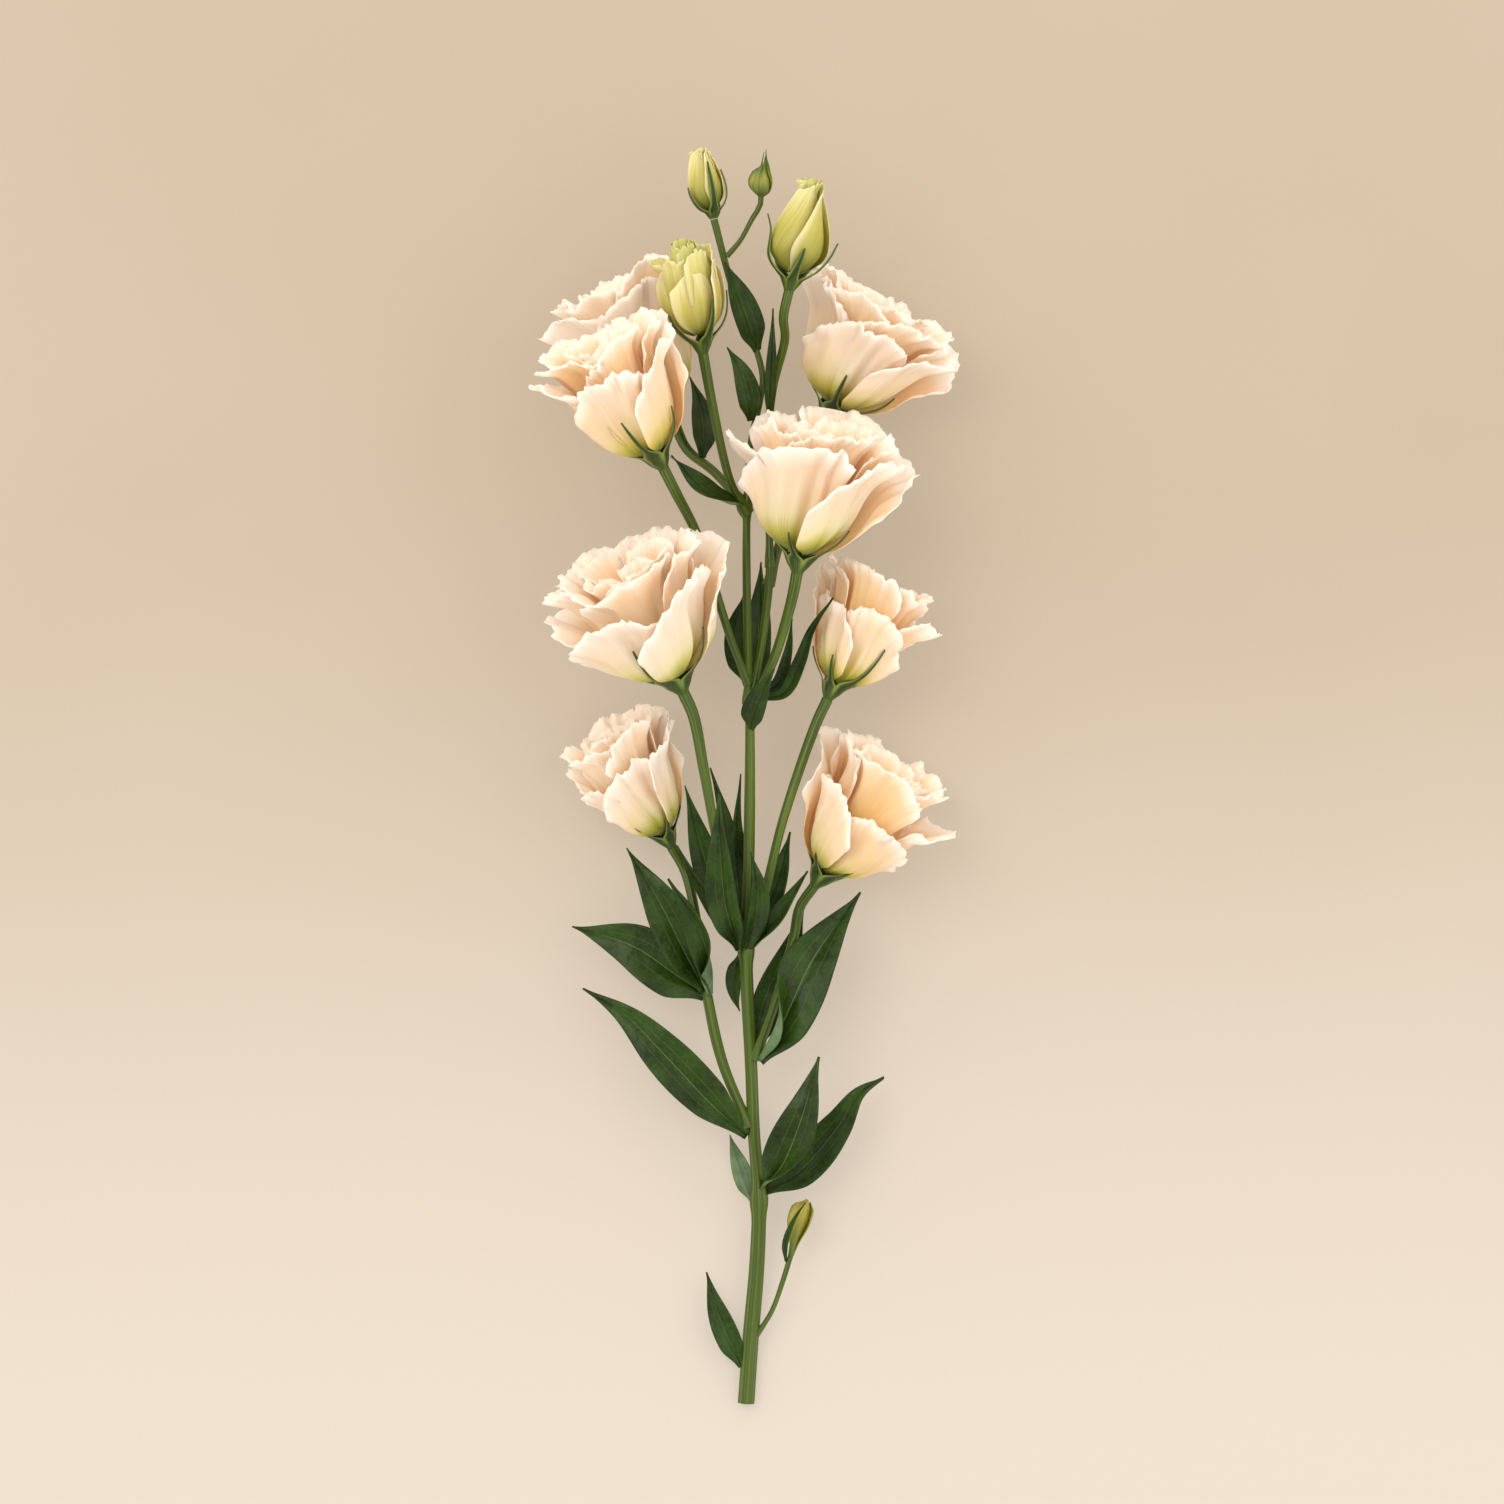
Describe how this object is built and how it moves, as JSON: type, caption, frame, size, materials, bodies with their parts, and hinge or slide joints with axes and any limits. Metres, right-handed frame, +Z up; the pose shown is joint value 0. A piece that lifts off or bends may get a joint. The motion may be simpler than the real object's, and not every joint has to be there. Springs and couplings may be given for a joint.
{
  "type": "lisianthus flower stem",
  "caption": "Cut lisianthus stem with frilled double blooms, half-open and closed buds and smooth pointed leaves, laid on a flat surface.",
  "frame": {"origin": "centre of the bounding box's underside, on the surface that the stem lies on", "axes": "+Y from the cut end towards the tips, +Z up off the surface, +X to the right as seen from above"},
  "size_m": [0.144, 0.4222, 0.0962],
  "materials": {
    "petal": "soft matte, thin and slightly see-through",
    "bud": "soft matte",
    "calyx": "satin, waxy",
    "stem": "satin, waxy",
    "leaf": "satin with a blue-grey bloom"
  },
  "bodies": {
    "root": {"stem": "stem", "bloom_top_left_back": "petal", "calyx_top_left_back": "calyx", "bloom_top_left": "petal", "calyx_top_left": "calyx", "bloom_top_right": "petal", "calyx_top_right": "calyx", "bloom_centre": "petal", "calyx_centre": "calyx", "bloom_mid_left": "petal", "calyx_mid_left": "calyx", "bloom_mid_right": "petal", "calyx_mid_right": "calyx", "bloom_low_left": "petal", "calyx_low_left": "calyx", "bloom_low_right": "petal", "calyx_low_right": "calyx", "bud_opening": "bud", "calyx_bud_opening": "calyx", "bud_upper_right": "bud", "calyx_bud_upper_right": "calyx", "bud_upper_left": "bud", "calyx_bud_upper_left": "calyx", "bud_tiny": "bud", "bud_low_shoot": "bud", "leaf_low_left_broad": "leaf", "leaf_branch_left_outer": "leaf", "leaf_branch_left_inner": "leaf", "leaf_branch_left_folded": "leaf", "leaf_whorl_centre_long": "leaf", "leaf_whorl_centre_short": "leaf", "leaf_whorl_left_back": "leaf", "leaf_whorl_left_strip": "leaf", "leaf_whorl_back_upper": "leaf", "leaf_whorl_back_narrow": "leaf", "leaf_whorl_right_upright": "leaf", "leaf_whorl_right_folded": "leaf", "leaf_whorl_down": "leaf", "leaf_right_broad": "leaf", "leaf_right_back": "leaf", "leaf_low_right_upright": "leaf", "leaf_low_right_outer": "leaf", "leaf_low_left_sheath": "leaf", "leaf_foot_left": "leaf", "leaf_foot_shoot": "leaf", "leaf_upper_left_curled": "leaf", "leaf_upper_back_left": "leaf", "leaf_upper_grey": "leaf", "leaf_upper_dark": "leaf", "leaf_upper_slim": "leaf", "leaf_mid_back_left": "leaf", "leaf_mid_back_centre": "leaf", "leaf_mid_front": "leaf", "leaf_mid_right_long": "leaf", "leaf_mid_right_slim": "leaf"}
  },
  "joints": []
}
